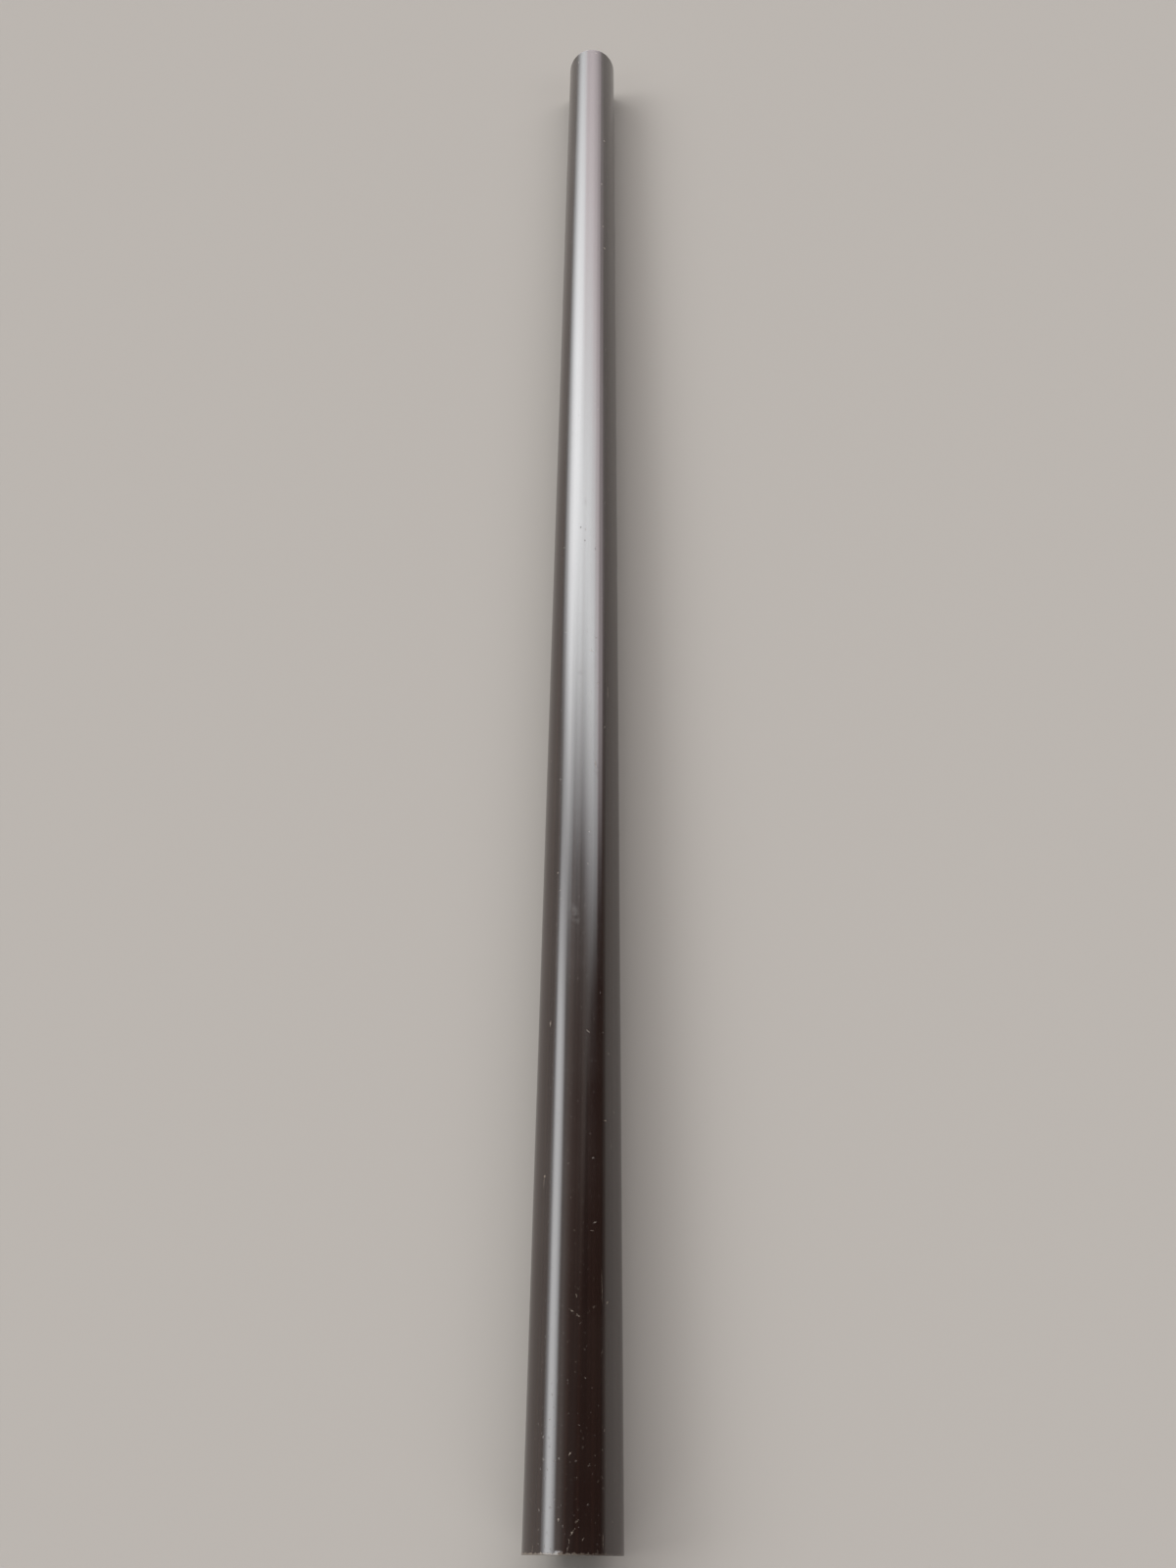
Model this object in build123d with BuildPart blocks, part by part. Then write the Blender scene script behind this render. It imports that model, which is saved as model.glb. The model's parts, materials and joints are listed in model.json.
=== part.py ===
from build123d import *
import os

# A straight round rainwater pipe, extruded in one piece and sawn off square at both ends.
# It lies level along Y with its lowest line on z = 0, and the origin is under its middle.
# Lengths are in millimetres.

outside_diameter = 70.0
wall = 1.5
length = 2000.0
edge_break = 0.3  # bevel that takes the sharpness off the four edges of the saw cuts

bore_diameter = outside_diameter - 2 * wall
axis_height = outside_diameter / 2

# The first cut end, looking along the pipe.
first_cut = Plane(origin=(0, -length / 2, axis_height), x_dir=(-1, 0, 0), z_dir=(0, 1, 0))

with BuildPart() as pipe:
    with BuildSketch(first_cut):
        Circle(outside_diameter / 2)
        Circle(bore_diameter / 2, mode=Mode.SUBTRACT)
    extrude(amount=length)

    # Each cut face is a ring with an outer and an inner edge.
    cut_faces = pipe.faces().filter_by(Axis.Y)
    chamfer(cut_faces.edges(), length=edge_break)

pipe.part.label = "pipe"

os.makedirs("parts", exist_ok=True)
export_step(pipe.part, "parts/pipe.step")
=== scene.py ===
import json
import math

import bpy
import numpy as np
from mathutils import Matrix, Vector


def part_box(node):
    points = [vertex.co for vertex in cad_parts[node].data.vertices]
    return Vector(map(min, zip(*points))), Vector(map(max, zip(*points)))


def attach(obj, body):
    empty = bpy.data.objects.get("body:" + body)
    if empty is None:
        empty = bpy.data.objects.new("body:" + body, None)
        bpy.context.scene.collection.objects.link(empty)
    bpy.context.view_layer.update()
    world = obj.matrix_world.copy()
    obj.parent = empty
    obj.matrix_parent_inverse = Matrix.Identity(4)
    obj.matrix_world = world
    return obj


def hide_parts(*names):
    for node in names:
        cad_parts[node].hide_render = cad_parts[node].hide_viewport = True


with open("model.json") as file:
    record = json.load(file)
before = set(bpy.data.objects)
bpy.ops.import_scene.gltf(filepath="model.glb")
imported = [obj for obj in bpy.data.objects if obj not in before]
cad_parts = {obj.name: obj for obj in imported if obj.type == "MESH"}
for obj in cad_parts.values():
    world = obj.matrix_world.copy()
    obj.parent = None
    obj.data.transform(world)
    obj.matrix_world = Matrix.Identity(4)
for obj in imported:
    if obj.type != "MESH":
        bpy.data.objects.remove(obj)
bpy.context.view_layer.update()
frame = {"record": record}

# A glossy brown rainwater pipe with sawn ends, lying on a pale floor.
# Lengths are in metres, and the pipe lies along Y with its near end at -Y.

MM = 0.001
mounts = {mount["name"]: mount for mount in frame["record"]["mounts"]}
barrel = mounts["clip_barrel"]
outside_radius = barrel["dims"]["r_mm"] * MM
bore_radius = mounts["water_bore"]["dims"]["r_mm"] * MM
axis_height = barrel["pos_m"][2]
near_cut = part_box("pipe")[0].y
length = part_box("pipe")[1].y - near_cut
edge_break = (length - barrel["dims"]["length_mm"] * MM) / 2

# Mesh
points_around = 360
rings_outside = 201
rings_in_bore = 31
rings_on_cut = 7
crowding = 3.0  # the larger, the closer the rings stand at the cuts
sharp_edge = math.radians(32)  # between two faces, from which their shared edge is sharp

# Surfaces of the mesh, by the number of their material
OUTSIDE, BORE, SAWN = 0, 1, 2

# Small faults of an extruded pipe
out_of_round = 0.10 * MM
oval_lean = 0.6  # radians from the top line
oval_twist = 1.1  # radians from one cut to the other
slow_wave = 0.05 * MM
slow_wave_pitch = 0.71
die_line_depth = 0.012 * MM
die_line_waves = range(12, 58)  # how many times each wave goes round the pipe, as for the lip

# Ragged lip that the saw threw up round each cut
burr_height = 0.22 * MM
burr_reach = 0.45 * MM
burr_side = math.radians(-45)
burr_waves = range(9, 80)
burr_patches = range(2, 7)
far_burr_share = 0.4
near_burr_turn = 2.0  # radians, so that the two lips aren't alike

# Curl of swarf that hangs at the near cut
curl_angle = math.radians(-11)
curl_width = 2.6 * MM
curl_height = 0.7 * MM
curl_reach = 2.2 * MM

# Strokes of the saw across the cuts
stroke_depth = 0.05 * MM
stroke_pitch = 2.7 * MM
stroke_lean = math.radians(24)
fine_stroke = 0.6 * MM
pale_patches_per_metre = 500
torn_edge_width = 0.6 * MM

# Strips of the texture, with where each starts and ends on the way up from 0 to 1
strips = {
    "near half": (0.01, 0.41), "far half": (0.43, 0.83), "bore": (0.85, 0.93),
    "near cut": (0.945, 0.963), "far cut": (0.972, 0.990),
}
strip_margin = 0.01
share_by_length = 0.86  # of the way along a strip, how much goes by metres
share_by_ring = 0.10  # and how much by the number of the ring

# Colours, linear
brown = (0.0145, 0.0065, 0.0050, 1)
redder_brown = (0.0195, 0.0083, 0.0058, 1)
# A lighter copy of the brown, for the bore: painted fill light, so that the dark bore isn't black
bore_brown_painted_lighter = (0.040, 0.023, 0.018, 1)
dust_colour = (0.22, 0.19, 0.165, 1)
# Pale of scraped plastic, also used for the painted highlight on the torn rims
scraped_and_highlight_pale = (0.30, 0.248, 0.193, 1)
soiled = (0.010, 0.008, 0.007, 1)
sawn_brown = (0.060, 0.036, 0.029, 1)

# Gloss, with the roughness of each surface before its marks
refraction = 1.54
skin_roughness = 0.13
bore_roughness = 0.24
sawn_roughness = 0.48

# Dust
clouds_per_metre = 9
grains_per_metre = 900

# Pale rim that the saw tore at each cut, with a painted highlight of its lit edge that makes it strongest on
# the left
rim_reach = (0.7, 2.2)  # mm from the cut, where it is least and most
# The fade round the pipe is a painted highlight of the lit edge: strong on the left, faint on the right
rim_highlight_fades_over = (-25, 30)  # mm round from the top line
rim_and_highlight_strength = (0.45, 0.10)  # before it fades and after
far_rim_share = 0.5

# Specks, which are fainter away from the near cut
specks_fade_over = (10, 180)  # mm from the near cut
far_speck_share = 0.35

# Marks that stand out one by one: mm from the near cut, degrees from the top line towards +X,
# length and width in mm, and lean in degrees from the pipe's own direction
nicks = [
    (13, 3, 5.5, 0.9, -38), (8, -1, 3.4, 1.0, 10), (4, -2, 4.0, 0.8, -18), (9, 14, 2.8, 1.0, -30),
    (19, 7, 3.8, 0.8, -60), (20, -13, 2.0, 1.1, 0), (58, -1, 3.2, 1.0, -35), (148, -1, 3.6, 1.0, 70),
    (145, 6, 3.4, 1.3, 55), (155, 44, 3.2, 1.1, -50), (158, 4, 2.4, 1.0, 10), (204, 22, 4.0, 0.9, 85),
    (289, 41, 3.0, 1.3, -60), (361, 15, 4.0, 1.1, 55), (371, -41, 7.0, 1.4, -8), (628, 23, 9.0, 1.3, 10),
    (270, 51, 2.4, 1.0, 0), (246, -44, 2.4, 1.1, 0), (766, 15, 7.0, 1.4, 85), (513, -34, 3.0, 1.2, 0),
    (1740, 37, 5.0, 2.6, 20), (1622, 30, 4.5, 2.2, 0), (1520, 34, 4.5, 2.6, -20), (1471, 38, 5.0, 3.0, 30),
    (1990, 14, 5.0, 1.6, 60), (1974, -34, 4.0, 1.8, 0),
]
scratches = [
    (8, 38, 12, 0.6, 0), (166, 36, 30, 0.6, 2), (242, -45, 12, 0.8, -3), (720, 46, 20, 1.2, 3),
    (3, -47, 7, 0.7, -5),
]
soiled_spots = [(940, -6, 4.0, 1.6, 0), (920, 2, 3.0, 1.8, 20), (909, 21, 4.5, 1.5, -10)]
smudges = [(470, -7, 30, 13, 20), (737, -2, 8, 14, 0), (622, 26, 24, 5, 4), (980, 2, 18, 7, 0)]
curl_mark = [(1.2, -11, 4.4, 6.0, 0)]


# Pipe mesh


def sum_of_waves(angle, orders, seed):
    """A wavy value round the pipe, closed on itself, from about -1 to 1."""
    random = np.random.default_rng(seed)
    value = np.zeros_like(angle)
    for order in orders:
        value += random.normal() * np.cos(order * angle + random.uniform(0, math.tau))
    return value / math.sqrt(len(orders))


def crowded(start, stop, count):
    """Places from start to stop that stand closer together near both of them."""
    even = np.linspace(-1, 1, count)
    return start + (stop - start) * (1 + np.tanh(crowding * even) / math.tanh(crowding)) / 2


def wall_section():
    """The closed long section of the wall, as (along, radius) for each ring, and which surface follows it."""
    outside = crowded(edge_break, length - edge_break, rings_outside)
    cut = np.linspace(outside_radius - edge_break, bore_radius + edge_break, rings_on_cut)
    bore = crowded(length - edge_break, edge_break, rings_in_bore)
    along = np.concatenate([outside, np.full(rings_on_cut, length), bore, np.zeros(rings_on_cut)])
    radius = np.concatenate([
        np.full(rings_outside, outside_radius), cut, np.full(rings_in_bore, bore_radius), cut[::-1]
    ])
    # A bevel belongs to the outside or to the bore that it borders.
    surface = np.concatenate([
        np.full(rings_outside, OUTSIDE), np.full(rings_on_cut - 1, SAWN),
        np.full(rings_in_bore + 1, BORE), np.full(rings_on_cut - 1, SAWN), [OUTSIDE],
    ])
    return along, radius, surface


def true_radius(angle, along, radius):
    """The radius with the small faults of an extruded pipe: out of round, slow waves and die lines."""
    twist = oval_twist * along / length
    fault = out_of_round * np.cos(2 * (angle - oval_lean - twist))
    fault += slow_wave * np.sin(math.tau * along / slow_wave_pitch + 2 * angle) * np.cos(3 * angle)
    fault += die_line_depth * sum_of_waves(angle, die_line_waves, seed=4)
    # The lowest line stays true, because the pipe rests on it.
    return radius + fault * (0.5 + 0.5 * np.cos(angle)) ** 0.5


def burr(angle, along, radius):
    """How far the saw threw the outer edge of a cut outwards."""
    at_near = along < length / 2
    from_cut = np.minimum(along, length - along)
    turned = angle + near_burr_turn * at_near
    ragged = sum_of_waves(turned, burr_waves, seed=11)
    patchy = 0.6 + 0.4 * sum_of_waves(turned, burr_patches, seed=12)
    one_sided = 0.65 + 0.35 * np.cos(angle - burr_side)
    lip = burr_height * one_sided * np.clip(0.5 + 0.6 * ragged * patchy, 0, 2)
    lip *= np.exp(-((from_cut / burr_reach) ** 2)) * np.where(at_near, 1, far_burr_share)
    off_curl = (angle - curl_angle) * outside_radius / curl_width
    curl = curl_height * np.exp(-(off_curl ** 4)) * np.exp(-((along / curl_reach) ** 4))
    on_outside = np.clip((radius - bore_radius) / (outside_radius - bore_radius), 0, 1) ** 4
    off_floor = np.clip(0.35 + 0.65 * np.cos(angle), 0, 1)
    return (lip + curl * (0.75 + 0.25 * ragged)) * on_outside * off_floor


def saw_strokes(angle, along, radius):
    """How deep the strokes of the saw bit into a cut, towards the middle of the pipe."""
    across = radius * np.sin(angle + stroke_lean)
    stroke = 0.5 + 0.5 * np.sin(math.tau * across / stroke_pitch + 0.8 * np.sin(3 * angle))
    uneven = 0.6 + 0.4 * np.sin(math.tau * across / (3.7 * stroke_pitch))
    depth = stroke_depth * stroke * uneven
    return np.where(along <= 0, depth, np.where(along >= length, -depth, 0))


def in_strip(name, share):
    """The height in the texture at a share of the way up a strip."""
    first, last = strips[name]
    return first + (last - first) * share


def bake_places(along, radius, surface):
    """Where each face corner lies in the texture: two strips of the outside, the bore and the two cuts."""
    rings = len(along)
    ring, step, corner = np.meshgrid(
        np.arange(rings), np.arange(points_around), np.arange(4), indexing="ij"
    )
    end = (ring + (corner >= 2)) % rings
    turn = (step + np.isin(corner, (1, 2))) / points_around
    outside, on_cut = surface[ring] == OUTSIDE, surface[ring] == SAWN
    near_bevel = ring == rings - 1
    far_half = outside & (ring >= rings_outside // 2) & ~near_bevel
    far_end = ring < rings_outside + rings_on_cut

    # Part of each strip goes by ring number, because the rims, with their close rings, show the most detail.
    number = np.where(near_bevel, np.where(corner >= 2, 0, -1), np.minimum(end, rings_outside))
    spare = (1 - share_by_length - share_by_ring) / 2
    stretched = spare + share_by_length * along[end] / length + share_by_ring * number / rings_outside
    across = (radius[end] - bore_radius) / (outside_radius - bore_radius)
    sideways = np.select([on_cut, outside], [turn, 2 * stretched - far_half], along[end] / length)
    sideways = strip_margin + (1 - 2 * strip_margin) * sideways
    upwards = np.select(
        [on_cut & far_end, on_cut, far_half, outside],
        [in_strip("far cut", across), in_strip("near cut", across),
         in_strip("far half", turn), in_strip("near half", turn)],
        in_strip("bore", turn),
    )
    return np.stack([sideways, upwards], axis=-1).reshape(-1, 2)


def pipe_mesh():
    """The whole pipe as one closed mesh, with a material for each of its three surfaces."""
    along, radius, surface = wall_section()
    angle = np.linspace(-math.pi, math.pi, points_around, endpoint=False)
    turn, place = np.meshgrid(angle, along)
    reach = np.repeat(radius[:, None], points_around, axis=1)
    reach = true_radius(turn, place, reach) + burr(turn, place, reach)
    place = place + saw_strokes(turn, place, reach)
    corners = np.stack([
        reach * np.sin(turn), near_cut + place, axis_height + reach * np.cos(turn)
    ], axis=-1)

    rings = len(along)
    ring, step = np.meshgrid(np.arange(rings), np.arange(points_around), indexing="ij")
    next_ring = (ring + 1) % rings
    next_step = (step + 1) % points_around
    faces = np.stack([
        ring * points_around + step, ring * points_around + next_step,
        next_ring * points_around + next_step, next_ring * points_around + step,
    ], axis=-1)

    mesh = bpy.data.meshes.new("pipe_body")
    mesh.from_pydata(corners.reshape(-1, 3).tolist(), [], faces.reshape(-1, 4).tolist())
    mesh.polygons.foreach_set("material_index", np.repeat(surface, points_around).astype(np.int32))
    mesh.polygons.foreach_set("use_smooth", np.ones(rings * points_around, bool))
    mesh.set_sharp_from_angle(angle=sharp_edge)
    bake_map = mesh.uv_layers.new(name="OFBake")
    bake_map.uv.foreach_set("vector", bake_places(along, radius, surface).astype(np.float32).ravel())
    mesh.update()
    return mesh


# Node helpers


def add(tree, kind, inputs=None, **settings):
    """Adds a node, sets its settings, and sets or links its inputs by name or number."""
    node = tree.nodes.new(kind)
    for name, value in settings.items():
        setattr(node, name, value)
    for name, value in (inputs or {}).items():
        if isinstance(value, bpy.types.NodeSocket):
            tree.links.new(value, node.inputs[name])
        else:
            node.inputs[name].default_value = value
    return node


def calculate(tree, operation, *values):
    """One step of arithmetic on numbers."""
    return add(tree, "ShaderNodeMath", dict(enumerate(values)), operation=operation).outputs[0]


def times(tree, first, second):
    """Two numbers multiplied."""
    return calculate(tree, "MULTIPLY", first, second)


def plus_share(tree, number, mask, share):
    """A number with a share of a mask added."""
    return calculate(tree, "MULTIPLY_ADD", mask, share, number)


def largest(tree, *values):
    """The largest of several numbers."""
    most = values[0]
    for value in values[1:]:
        most = calculate(tree, "MAXIMUM", most, value)
    return most


def on_vectors(tree, operation, *values):
    """One step of arithmetic on vectors."""
    return add(tree, "ShaderNodeVectorMath", dict(enumerate(values)), operation=operation).outputs[0]


def number_from(tree, operation, *vectors):
    """One step of arithmetic that makes a number of vectors."""
    return add(tree, "ShaderNodeVectorMath", dict(enumerate(vectors)), operation=operation).outputs["Value"]


def remap(tree, value, low, high, out_low=0.0, out_high=1.0):
    """A smooth step of value from low..high to out_low..out_high."""
    inputs = {"Value": value, "From Min": low, "From Max": high, "To Min": out_low, "To Max": out_high}
    return add(tree, "ShaderNodeMapRange", inputs, interpolation_type="SMOOTHSTEP").outputs["Result"]


def mix_number(tree, share, first, second):
    """first where share is 0 and second where it is 1, as numbers."""
    return add(tree, "ShaderNodeMix", {0: share, 2: first, 3: second}, data_type="FLOAT").outputs[0]


def mix_colour(tree, share, first, second):
    """first where share is 0 and second where it is 1, as colours."""
    return add(tree, "ShaderNodeMix", {0: share, 6: first, 7: second}, data_type="RGBA").outputs[2]


def noise(tree, vector, scale, detail=3.0, roughness=0.5):
    """Soft noise from 0 to 1."""
    inputs = {"Vector": vector, "Scale": scale, "Detail": detail, "Roughness": roughness}
    return add(tree, "ShaderNodeTexNoise", inputs).outputs["Fac"]


def new_group(name, inputs, outputs, output_kind="Float"):
    """An effect as a shader node group: inputs as {name: default value}, outputs as names of one kind."""
    tree = bpy.data.node_groups.new(name, "ShaderNodeTree")
    for socket, default in inputs.items():
        kind = "Vector" if isinstance(default, tuple) else "Float"
        made = tree.interface.new_socket(name=socket, in_out="INPUT", socket_type="NodeSocket" + kind)
        made.default_value = default
    for socket in outputs:
        tree.interface.new_socket(name=socket, in_out="OUTPUT", socket_type="NodeSocket" + output_kind)
    start = tree.nodes.new("NodeGroupInput")
    end = tree.nodes.new("NodeGroupOutput")
    return tree, start.outputs, end.inputs


def place_group(tree, group, inputs):
    """Puts an effect in a material and gives back its outputs."""
    return add(tree, "ShaderNodeGroup", inputs, node_tree=group).outputs


# Effects that the finishes share


def unrolled_surface():
    """Where a point lies on the unrolled pipe, in mm: X round from the top, Y along from the near cut."""
    given_sockets = {"Position": (0, 0, 0)}
    tree, given, result = new_group("Unrolled Surface", given_sockets, ["Place", "Torn Place"], "Vector")
    x, y, z = add(tree, "ShaderNodeSeparateXYZ", {0: given["Position"]}).outputs
    angle = calculate(tree, "ARCTAN2", x, calculate(tree, "SUBTRACT", z, axis_height))
    around = times(tree, angle, outside_radius / MM)
    along = calculate(tree, "MULTIPLY_ADD", y, 1 / MM, -near_cut / MM)
    place = add(tree, "ShaderNodeCombineXYZ", {0: around, 1: along}).outputs[0]
    tree.links.new(place, result["Place"])
    # The torn place wanders by a few tenths of a mm, for marks with ragged edges.
    wander = add(tree, "ShaderNodeTexNoise", {"Vector": place, "Scale": 0.9}, noise_dimensions="2D")
    off_middle = on_vectors(tree, "SUBTRACT", wander.outputs["Color"], (0.5, 0.5, 0.5))
    torn = on_vectors(tree, "MULTIPLY_ADD", off_middle, (2.4, 2.4, 0), place)
    tree.links.new(torn, result["Torn Place"])
    return tree


def die_lines_effect():
    """Fine lines along the pipe, drawn out by the die."""
    given_sockets = {"Position": (0, 0, 0), "Lines per Metre": 420.0}
    tree, given, result = new_group("Die Lines", given_sockets, ["Height", "Tone"])
    drawn_out = on_vectors(tree, "MULTIPLY", given["Position"], (1, 0.004, 1))
    coarse = noise(tree, drawn_out, given["Lines per Metre"], detail=2)
    fine = noise(tree, drawn_out, times(tree, given["Lines per Metre"], 3.7), detail=1)
    both = plus_share(tree, times(tree, coarse, 0.7), fine, 0.3)
    tree.links.new(both, result["Height"])
    tree.links.new(remap(tree, coarse, 0.35, 0.65), result["Tone"])
    return tree


def tapered(tree, local):
    """A mark that narrows to its ends, from a place given in half widths and half lengths off its middle."""
    across, lengthwise, _ = add(tree, "ShaderNodeSeparateXYZ", {0: local}).outputs
    narrowing = times(tree, lengthwise, lengthwise)
    outwards = calculate(tree, "ADD", calculate(tree, "ABSOLUTE", across), narrowing)
    return remap(tree, outwards, 1.0, 0.3)


def placed_mark():
    """One mark at a given place."""
    given_sockets = {"Place": (0, 0, 0), "Middle": (0, 0, 0), "Lean": (0, 0, 0), "Half Size": (1, 1, 1)}
    tree, given, result = new_group("Placed Mark", given_sockets, ["Mask"])
    inputs = {
        "Vector": given["Place"], "Location": given["Middle"],
        "Rotation": given["Lean"], "Scale": given["Half Size"],
    }
    local = add(tree, "ShaderNodeMapping", inputs, vector_type="TEXTURE").outputs[0]
    tree.links.new(tapered(tree, local), result["Mask"])
    return tree


def scattered_marks():
    """Short marks, at most one to a cell, each placed, turned, sized and faded by chance."""
    given_sockets = {
        "Place": (0, 0, 0), "Spacing": 20.0, "Half Length": 2.0, "Half Width": 0.3,
        "Share": 0.5, "Most Lean": 1.5, "Shift": 0.0,
    }
    tree, given, result = new_group("Scattered Marks", given_sockets, ["Mask"])
    shift = add(tree, "ShaderNodeCombineXYZ", {0: given["Shift"], 1: given["Shift"]}).outputs[0]
    shifted = on_vectors(tree, "ADD", given["Place"], shift)
    scale = calculate(tree, "DIVIDE", 1, given["Spacing"])
    cells = add(tree, "ShaderNodeTexVoronoi", {"Vector": shifted, "Scale": scale}, voronoi_dimensions="2D")
    chance, other_chance, third_chance = add(
        tree, "ShaderNodeSeparateColor", {0: cells.outputs["Color"]}
    ).outputs
    lean = times(tree, calculate(tree, "MULTIPLY_ADD", chance, 2, -1), given["Most Lean"])
    size = calculate(tree, "MULTIPLY_ADD", other_chance, 0.7, 0.3)
    half_length = times(tree, given["Half Length"], size)
    inputs = {
        "Vector": shifted, "Location": cells.outputs["Position"],
        "Rotation": add(tree, "ShaderNodeCombineXYZ", {2: lean}).outputs[0],
        "Scale": add(tree, "ShaderNodeCombineXYZ", {0: given["Half Width"], 1: half_length, 2: 1}).outputs[0],
    }
    local = add(tree, "ShaderNodeMapping", inputs, vector_type="TEXTURE").outputs[0]
    faded = calculate(tree, "SUBTRACT", 1, calculate(tree, "DIVIDE", third_chance, given["Share"]))
    tree.links.new(times(tree, tapered(tree, local), largest(tree, faded, 0)), result["Mask"])
    return tree


def thin_dust():
    """A thin uneven film of dust, and the grains in it."""
    given_sockets = {"Position": (0, 0, 0), "Grain Size": 1.0}
    tree, given, result = new_group("Thin Dust", given_sockets, ["Film", "Grains"])
    cloud = noise(tree, given["Position"], clouds_per_metre, detail=5, roughness=0.6)
    tree.links.new(remap(tree, cloud, 0.38, 0.72), result["Film"])
    grain_scale = calculate(tree, "DIVIDE", grains_per_metre, given["Grain Size"])
    grain = noise(tree, given["Position"], grain_scale, detail=1)
    tree.links.new(remap(tree, grain, 0.66, 0.78), result["Grains"])
    return tree


unrolled = unrolled_surface()
drawn_lines = die_lines_effect()
one_mark = placed_mark()
many_marks = scattered_marks()
dust = thin_dust()


# Finishes


def new_finish(name):
    """An empty material with its Principled shader and the position on the pipe."""
    material = bpy.data.materials.new(name)
    material.use_nodes = True
    tree = material.node_tree
    shader = tree.nodes["Principled BSDF"]
    shader.inputs["IOR"].default_value = refraction
    position = add(tree, "ShaderNodeTexCoord").outputs["Object"]
    return material, tree, shader, position


def set_finish(tree, shader, colour, rough, height):
    """Gives the shader its colour, its roughness and its relief, with the height in metres."""
    bump = add(tree, "ShaderNodeBump", {"Height": height, "Distance": 1.0, "Strength": 1.0})
    tree.links.new(colour, shader.inputs["Base Color"])
    tree.links.new(rough, shader.inputs["Roughness"])
    tree.links.new(bump.outputs[0], shader.inputs["Normal"])


def marks_at(tree, place, marks):
    """One mask for a list of marks that stand out one by one."""
    masks = []
    for along, degrees, long, wide, lean in marks:
        around = math.radians(degrees) * outside_radius / MM
        inputs = {
            "Place": place, "Middle": (around, along, 0), "Lean": (0, 0, math.radians(lean)),
            "Half Size": (wide / 2, long / 2, 1),
        }
        masks.append(place_group(tree, one_mark, inputs)["Mask"])
    return largest(tree, *masks)


def marks_about(tree, place, spacing, long, wide, share, most_lean, shift):
    """A mask of marks that lie about by chance, in mm."""
    inputs = {
        "Place": place, "Spacing": spacing, "Half Length": long / 2, "Half Width": wide / 2,
        "Share": share, "Most Lean": math.radians(most_lean), "Shift": shift,
    }
    return place_group(tree, many_marks, inputs)["Mask"]


def more_near_cut(tree, place):
    """Full strength at the near cut, which was handled most, and less along the rest of the pipe."""
    along = add(tree, "ShaderNodeSeparateXYZ", {0: place}).outputs[1]
    return remap(tree, along, *specks_fade_over, 1.0, far_speck_share)


def torn_rim_and_highlight(tree, place):
    """Where the saw tore the skin pale, about a mm wide at each cut, with a painted highlight of the lit edge
    that makes it strongest on the left.
    """
    around, along, _ = add(tree, "ShaderNodeSeparateXYZ", {0: place}).outputs
    middle = length / MM / 2
    from_middle = calculate(tree, "ABSOLUTE", calculate(tree, "SUBTRACT", along, middle))
    from_cut = calculate(tree, "SUBTRACT", middle, from_middle)
    ragged = noise(tree, add(tree, "ShaderNodeCombineXYZ", {0: around}).outputs[0], 0.45, detail=3)
    reach = remap(tree, ragged, 0.3, 0.7, *rim_reach)
    torn = calculate(tree, "SUBTRACT", 1, calculate(tree, "DIVIDE", from_cut, reach))
    on_side = remap(tree, around, *rim_highlight_fades_over, *rim_and_highlight_strength)
    near = remap(tree, along, 0, length / MM, 1.0, far_rim_share)
    return times(tree, remap(tree, torn, 0, 0.35), times(tree, on_side, near))


def worn_marks(tree, place, torn_place, specks, chips):
    """Where handling took the skin off: specks, hairlines, chips, scratches and nicks, all broken up."""
    hairlines = marks_about(tree, place, spacing=70, long=60, wide=0.35, share=0.7, most_lean=3, shift=41)
    worn = plus_share(tree, times(tree, specks, 0.36), hairlines, 0.15)
    worn = largest(tree, worn, times(tree, chips, 0.6), times(tree, marks_at(tree, place, scratches), 0.5))
    worn = largest(tree, worn, marks_at(tree, torn_place, nicks))
    broken = remap(tree, noise(tree, torn_place, 0.7, detail=2), 0.3, 0.6, 0.2, 0.8)
    return times(tree, worn, broken)


def glossy_skin():
    """The outside: glossy brown with lines from the die, dust, smudges, nicks, scratches and torn rims."""
    material, tree, shader, position = new_finish("glossy_brown_skin")
    shader.inputs["Specular IOR Level"].default_value = 1.0
    places = place_group(tree, unrolled, {"Position": position})
    place, torn_place = places["Place"], places["Torn Place"]
    lines = place_group(tree, drawn_lines, {"Position": position})
    on_it = place_group(tree, dust, {"Position": position})

    specks = marks_about(tree, torn_place, spacing=6, long=1.8, wide=1.2, share=0.8, most_lean=90, shift=3)
    specks = times(tree, specks, more_near_cut(tree, place))
    chips = marks_about(tree, torn_place, spacing=29, long=4.5, wide=0.9, share=0.7, most_lean=80, shift=17)
    scuffs = marks_about(tree, place, spacing=19, long=17, wide=0.5, share=0.6, most_lean=60, shift=7)
    soil = marks_at(tree, torn_place, soiled_spots)
    patchy = remap(tree, noise(tree, torn_place, 0.22, detail=3), 0.32, 0.68)
    smudge = times(tree, marks_at(tree, torn_place, smudges), patchy)
    curl = times(tree, marks_at(tree, torn_place, curl_mark), 0.14)
    worn = worn_marks(tree, place, torn_place, specks, chips)
    # pale holds the worn marks, the torn rims with their painted highlight, and the curl
    pale = largest(tree, worn, torn_rim_and_highlight(tree, torn_place), curl)

    film = times(tree, on_it["Film"], 0.02)
    film = plus_share(tree, film, on_it["Grains"], 0.05)
    film = plus_share(tree, film, smudge, 0.05)
    colour = mix_colour(tree, lines["Tone"], brown, redder_brown)
    for mask, paint in ((film, dust_colour), (soil, soiled), (pale, scraped_and_highlight_pale)):
        colour = mix_colour(tree, mask, colour, paint)

    rough = plus_share(tree, skin_roughness, lines["Tone"], 0.03)
    for mask, share in ((film, 1.2), (scuffs, 0.08), (smudge, 0.04), (soil, 0.3), (pale, 0.45)):
        rough = plus_share(tree, rough, mask, share)

    # Of the single marks only the soiled spots are in the relief. All of them are too much for the shader.
    height = times(tree, lines["Height"], 0.014 * MM)
    height = plus_share(tree, height, largest(tree, specks, chips, soil), -0.05 * MM)
    set_finish(tree, shader, colour, rough, height)
    return material


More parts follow.
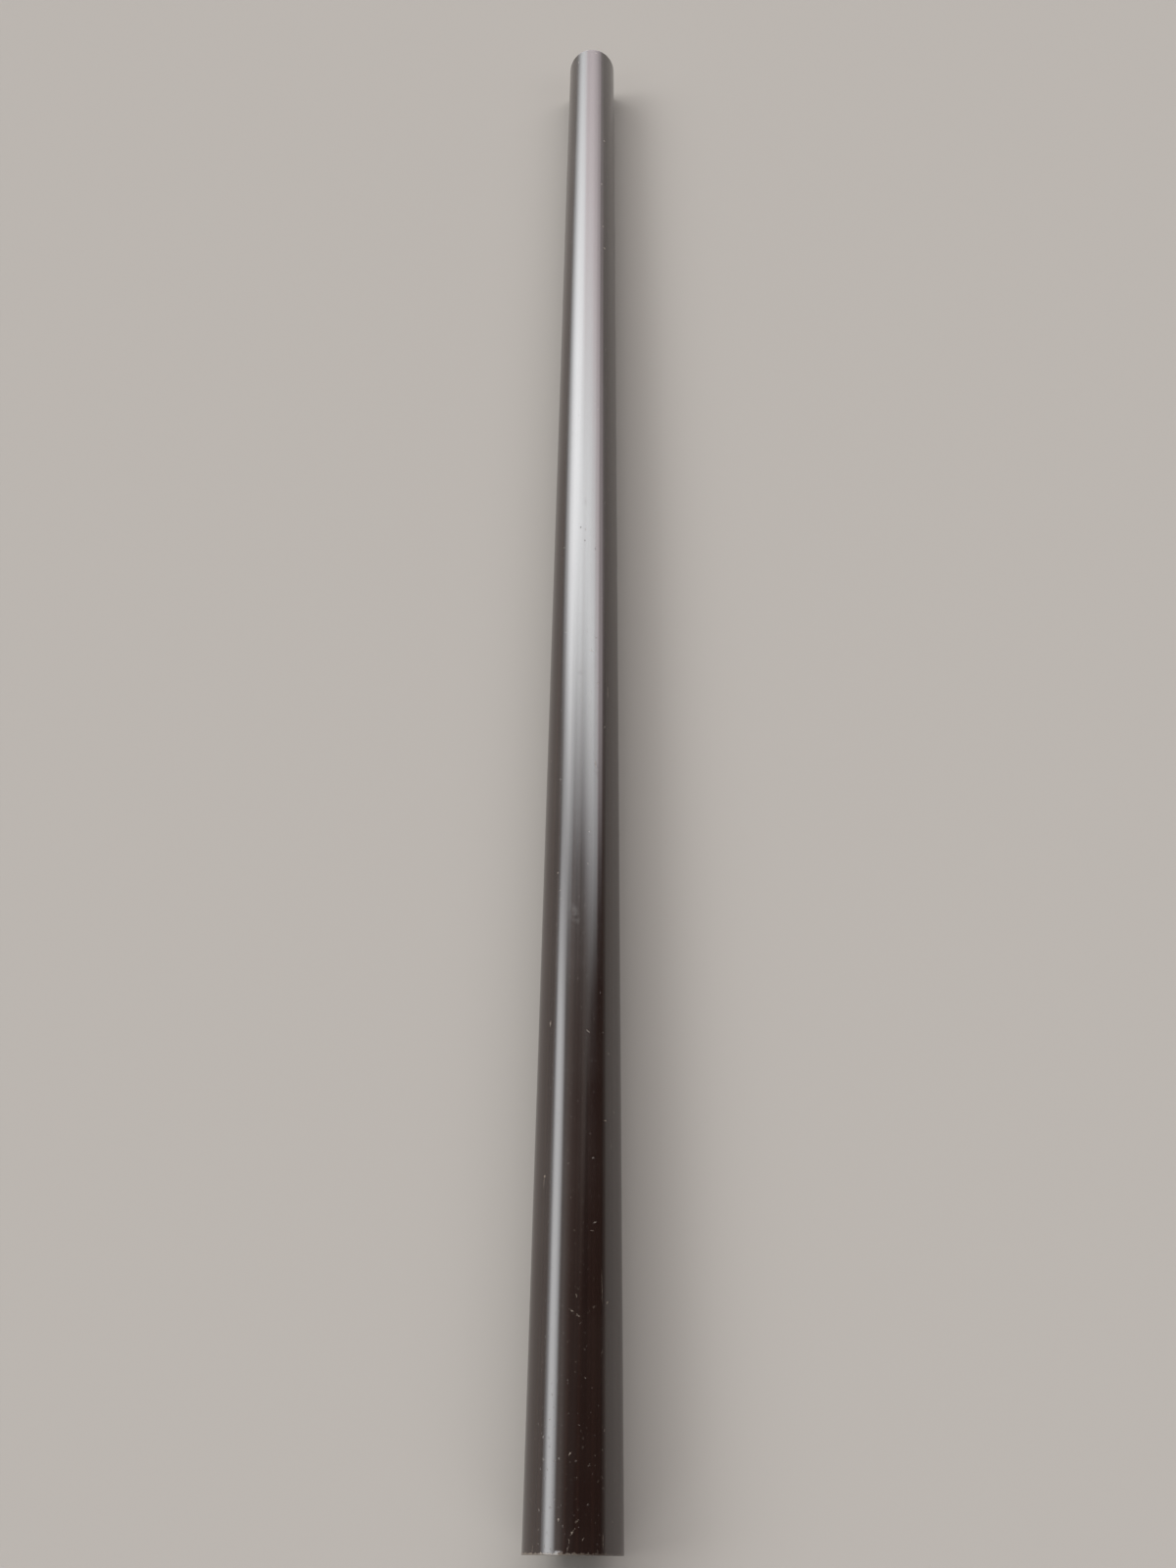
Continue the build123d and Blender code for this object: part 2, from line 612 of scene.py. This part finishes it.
def bore_skin():
    """The inside: the same plastic, duller, with dust and saw grit in it, and painted lighter than the
    outside as painted fill light.
    """
    material, tree, shader, position = new_finish("dull_brown_bore")
    place = place_group(tree, unrolled, {"Position": position})["Torn Place"]
    lines = place_group(tree, drawn_lines, {"Position": position, "Lines per Metre": 300.0})
    on_it = place_group(tree, dust, {"Position": position, "Grain Size": 1.4})
    grit = marks_about(tree, place, spacing=6, long=1.4, wide=0.8, share=0.5, most_lean=90, shift=23)
    # A thick film of dust on a lighter brown: partly real dust, partly painted fill light that keeps the bore
    # from looking black.
    film = times(tree, on_it["Film"], 0.2)
    film = plus_share(tree, film, on_it["Grains"], 0.15)
    film = plus_share(tree, film, grit, 0.35)
    colour = mix_colour(tree, film, mix_colour(tree, lines["Tone"], bore_brown_painted_lighter, redder_brown), dust_colour)
    rough = plus_share(tree, bore_roughness, film, 1.0)
    height = plus_share(tree, times(tree, lines["Height"], 0.02 * MM), film, 0.1 * MM)
    set_finish(tree, shader, colour, rough, height)
    return material


def sawn_face():
    """A sawn end: matt and paler, with the strokes of the saw across it and a torn outer edge."""
    material, tree, shader, position = new_finish("sawn_brown_end")
    stroke_way = (math.cos(stroke_lean), 0, math.sin(stroke_lean))
    across = number_from(tree, "DOT_PRODUCT", position, stroke_way)
    inputs = {"W": across, "Scale": 1 / fine_stroke, "Detail": 3}
    strokes = add(tree, "ShaderNodeTexNoise", inputs, noise_dimensions="1D").outputs["Fac"]
    patches = noise(tree, position, pale_patches_per_metre, detail=3)
    off_axis = on_vectors(tree, "SUBTRACT", position, (0, 0, axis_height))
    from_axis = number_from(tree, "LENGTH", on_vectors(tree, "MULTIPLY", off_axis, (1, 0, 1)))
    torn_edge = remap(tree, from_axis, outside_radius - torn_edge_width, outside_radius)

    whitened = times(tree, remap(tree, strokes, 0.45, 0.7), remap(tree, patches, 0.35, 0.6))
    whitened = largest(tree, times(tree, whitened, 0.45), times(tree, torn_edge, 0.7))
    colour = mix_colour(tree, whitened, sawn_brown, scraped_and_highlight_pale)
    rough = plus_share(tree, sawn_roughness, whitened, 0.3)
    height = plus_share(tree, times(tree, strokes, 0.05 * MM), patches, 0.02 * MM)
    set_finish(tree, shader, colour, rough, height)
    return material


# The pipe

pipe = bpy.data.objects.new("pipe_body", pipe_mesh())
bpy.context.scene.collection.objects.link(pipe)
for finish in (glossy_skin(), bore_skin(), sawn_face()):
    pipe.data.materials.append(finish)
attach(pipe, "root")
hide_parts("pipe")


# Studio, with directions as azimuths, where 0 is along the pipe and 90 is to its right, and elevations

floor_colour = (0.45, 0.420, 0.388, 1)
floor_radius = 60.0
floor_sides = 64

# Soft panes: brightness, where 1 is white, and the degrees where each starts, is full, ends and is gone.
# A slant is azimuth and elevation together, over which the far upper corner of a pane fades.
panes = {
    "left": {"level": 4.6, "azimuth": (-109, -100, -65, -46), "elevation": (14, 32, 36, 57)},
    "far left": {"level": 6.8, "azimuth": (-59, -37, -34, -5), "elevation": (0, 32, 33, 57)},
    "far": {"level": 7.8, "azimuth": (-38, -10, 47, 63), "elevation": (3, 62, 42, 64), "slant": (68, 109)},
    "behind left": {"level": 2.0, "azimuth": (-160, -148, -130, -116), "elevation": (16, 28, 36, 50)},
    "behind right": {"level": 2.0, "azimuth": (106, 122, 146, 160), "elevation": (16, 28, 36, 50)},
}
pane_colour = (0.97, 0.985, 1.0, 1)
colour_comes_in = (0.2, 1.2)  # brightness of the panes, over which their colour takes over

# The far pane is warmer at its foot, where a pane of this shape would be lit.
warm_foot = {"level": 1.0, "azimuth": (-16, -7, 63, 80), "elevation": (-20, -10, 27, 40)}
warm_pane_colour = (1.0, 0.90, 0.925, 1)

surround_colour = (0.497, 0.470, 0.437, 1)  # as the lit floor looks, so that the floor has no edge
ceiling = 0.19  # as a share of the surround, as for the dark walls
ceiling_fade = (54, 77)
dark_wall = 0.06  # the walls at the right and behind, above their pale foot
right_wall = (44, 56)
wall_behind = (-103, -125)
wall_foot = (2, 22)


def plain_floor():
    """A wide pale floor."""
    material = bpy.data.materials.new("pale_floor")
    material.use_nodes = True
    shader = material.node_tree.nodes["Principled BSDF"]
    shader.inputs["Base Color"].default_value = floor_colour
    shader.inputs["Roughness"].default_value = 1.0
    shader.inputs["Specular IOR Level"].default_value = 0.0
    turns = np.linspace(0, math.tau, floor_sides, endpoint=False)
    edge = [(floor_radius * math.cos(turn), floor_radius * math.sin(turn), 0) for turn in turns]
    mesh = bpy.data.meshes.new("floor")
    mesh.from_pydata(edge, [], [tuple(range(len(edge)))])
    mesh.materials.append(material)
    floor = bpy.data.objects.new("floor", mesh)
    bpy.context.scene.collection.objects.link(floor)


def fade(tree, angle, degrees, out_low=0.0, out_high=1.0):
    """A smooth step over an angle, between two elevations or azimuths."""
    return remap(tree, angle, math.radians(degrees[0]), math.radians(degrees[1]), out_low, out_high)


def light_of_pane(tree, azimuth, elevation, pane):
    """The light of one pane, which fades at its four edges and at a slanted corner."""
    light = pane["level"]
    for angle, side in ((azimuth, "azimuth"), (elevation, "elevation")):
        start, full, end, gone = pane[side]
        light = times(tree, fade(tree, angle, (start, full)), light)
        light = times(tree, fade(tree, angle, (end, gone), 1.0, 0.0), light)
    if "slant" in pane:
        slant = calculate(tree, "ADD", azimuth, elevation)
        light = times(tree, fade(tree, slant, pane["slant"], 1.0, 0.0), light)
    return light


def studio_light():
    """The studio as one soft light: the panes, a pale surround, a dim ceiling and two dark walls.

    The camera sees only the surround.
    """
    world = bpy.data.worlds.new("studio")
    world.use_nodes = True
    tree = world.node_tree
    direction = add(tree, "ShaderNodeTexCoord").outputs["Generated"]
    x, y, z = add(tree, "ShaderNodeSeparateXYZ", {0: direction}).outputs
    elevation = calculate(tree, "ARCSINE", z)
    azimuth = calculate(tree, "ARCTAN2", x, y)

    lit = 0.0
    for pane in panes.values():
        lit = calculate(tree, "ADD", lit, light_of_pane(tree, azimuth, elevation, pane))
    warmth = light_of_pane(tree, azimuth, elevation, warm_foot)
    tint = mix_colour(tree, warmth, pane_colour, warm_pane_colour)

    plain = fade(tree, elevation, ceiling_fade, 1.0, ceiling)
    walls = largest(tree, fade(tree, azimuth, right_wall), fade(tree, azimuth, wall_behind))
    plain = mix_number(tree, times(tree, walls, fade(tree, elevation, wall_foot)), plain, dark_wall)

    colour = mix_colour(tree, remap(tree, lit, *colour_comes_in), surround_colour, tint)
    level = largest(tree, lit, plain)
    to_camera = add(tree, "ShaderNodeLightPath").outputs["Is Camera Ray"]
    background = tree.nodes["Background"]
    tree.links.new(mix_colour(tree, to_camera, colour, surround_colour), background.inputs["Color"])
    tree.links.new(mix_number(tree, to_camera, level, 1.0), background.inputs["Strength"])
    bpy.context.scene.world = world


plain_floor()
studio_light()


# Camera, where the photograph was taken from, with its turns in degrees and its lens in mm

camera_place = (0.0598, -0.9994, 0.9871)
looks_down = 56.57
turned_left = 5.00
rolled_right = 5.41
sensor_side = 36.0
focal_length = 26.95

lens = bpy.data.cameras.new("camera")
lens.sensor_width = sensor_side
lens.lens = focal_length
camera = bpy.data.objects.new("camera", lens)
camera.matrix_world = (
    Matrix.Translation(camera_place)
    @ Matrix.Rotation(math.radians(turned_left), 4, "Z")
    @ Matrix.Rotation(math.radians(90 - looks_down), 4, "X")
    @ Matrix.Rotation(math.radians(-rolled_right), 4, "Z")
)
bpy.context.scene.collection.objects.link(camera)
bpy.context.scene.camera = camera
bpy.context.scene.view_settings.view_transform = "Standard"
